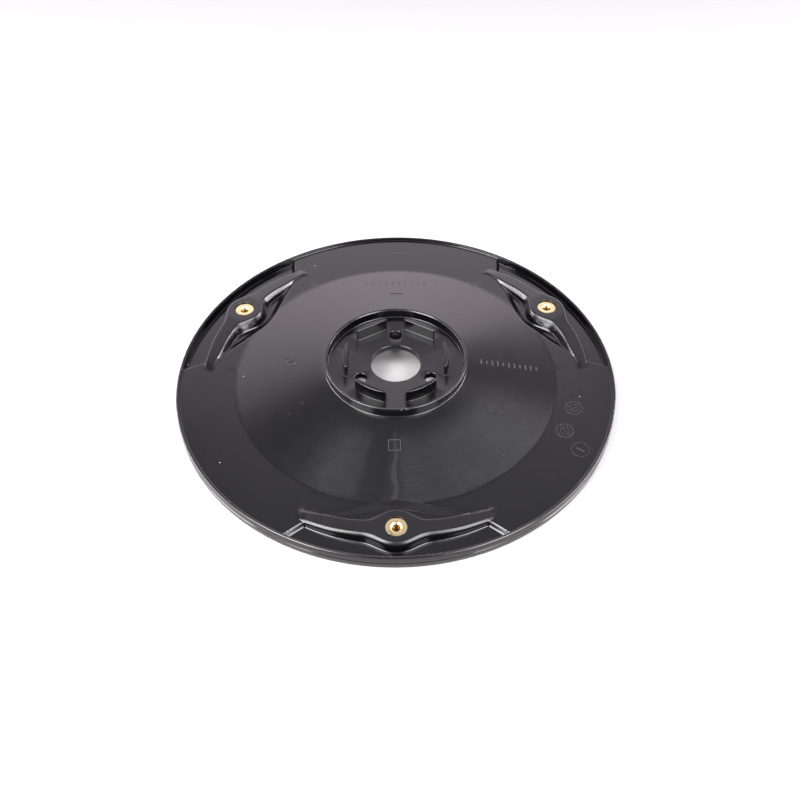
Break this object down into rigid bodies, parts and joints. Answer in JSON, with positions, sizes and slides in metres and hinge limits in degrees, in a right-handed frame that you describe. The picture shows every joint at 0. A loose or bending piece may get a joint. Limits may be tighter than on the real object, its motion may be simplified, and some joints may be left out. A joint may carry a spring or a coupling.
{
  "type": "robotic mower knife disc",
  "caption": "Shallow domed plastic disc with a raised rim, a collared hub with locating tabs, and raised knife pads that hold threaded brass inserts near the rim",
  "frame": {"origin": "On the disc's axis, level with the foot of the rim, which is the lowest plane of the part", "axes": "+Z is the disc's axis and points out of the knife side, which is up as the disc lies on its rim; -Y points at the front insert and +X to the right"},
  "size_m": [0.2404, 0.2404, 0.0224],
  "materials": {
    "disc_plastic": "black glass-filled nylon, satin, with a fine moulded texture and light scuffs",
    "insert_brass": "bright turned brass"
  },
  "bodies": {
    "root": {"moulded_disc": "disc_plastic", "threaded_insert_right": "insert_brass", "threaded_insert_left": "insert_brass", "threaded_insert_front": "insert_brass"}
  },
  "joints": []
}
